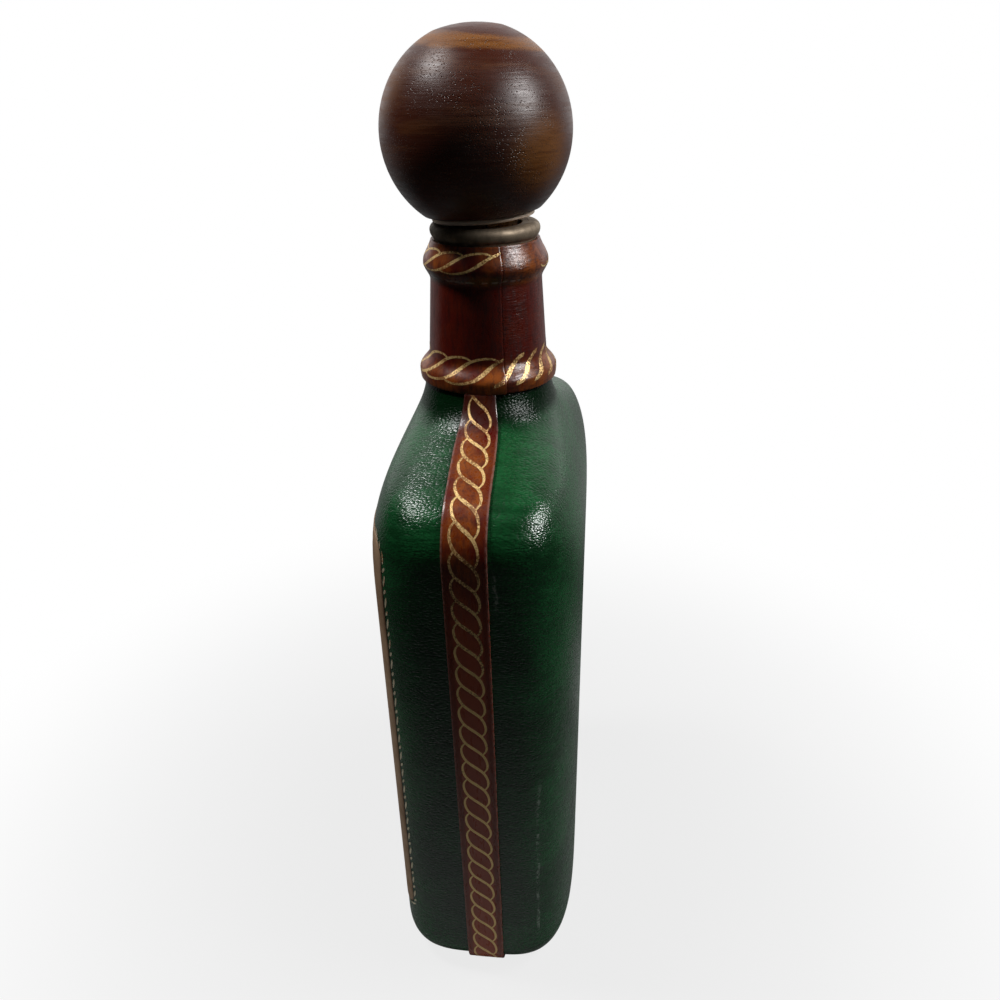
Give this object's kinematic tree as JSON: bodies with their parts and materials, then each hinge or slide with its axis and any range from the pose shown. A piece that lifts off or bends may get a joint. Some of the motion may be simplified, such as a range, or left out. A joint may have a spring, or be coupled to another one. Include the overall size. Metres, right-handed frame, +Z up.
{
  "type": "liquor decanter",
  "caption": "Flat rounded glass decanter covered in leather, with side straps, a front panel, a neck sleeve, a metal mouth ring and a wooden ball stopper that lifts out.",
  "frame": {"origin": "centre of the base, on the surface the decanter stands on, under the neck axis", "axes": "+Z up along the neck, X across the wide faces towards the two strapped narrow sides, -Y out of the front panel"},
  "size_m": [0.1312, 0.066, 0.3078],
  "materials": {
    "glass": "clear moulded glass",
    "green_leather": "dyed and polished, fine pebble grain",
    "red_leather": "dyed and polished, gold-tooled",
    "tan_leather": "natural, matt",
    "base_leather": "plain, matt",
    "old_metal": "dull and aged",
    "stained_wood": "dark stain, satin",
    "dowel_wood": "plain",
    "cork": "natural cork"
  },
  "bodies": {
    "flask": {"glass_flask": "glass", "leather_front": "green_leather", "leather_back": "green_leather", "front_panel": "tan_leather", "strap_right": "red_leather", "strap_left": "red_leather", "base_pad": "base_leather", "neck_sleeve": "red_leather", "mouth_ring": "old_metal"},
    "stopper": {"stopper_ball": "stained_wood", "stopper_ferrule": "old_metal", "stopper_cork": "cork", "stopper_dowel": "dowel_wood"}
  },
  "joints": [
    {"name": "stopper_lift", "type": "slide", "parent": "flask", "child": "stopper", "axis": [0, -0.0628, 0.998], "range_m": [0, 0.06]}
  ]
}
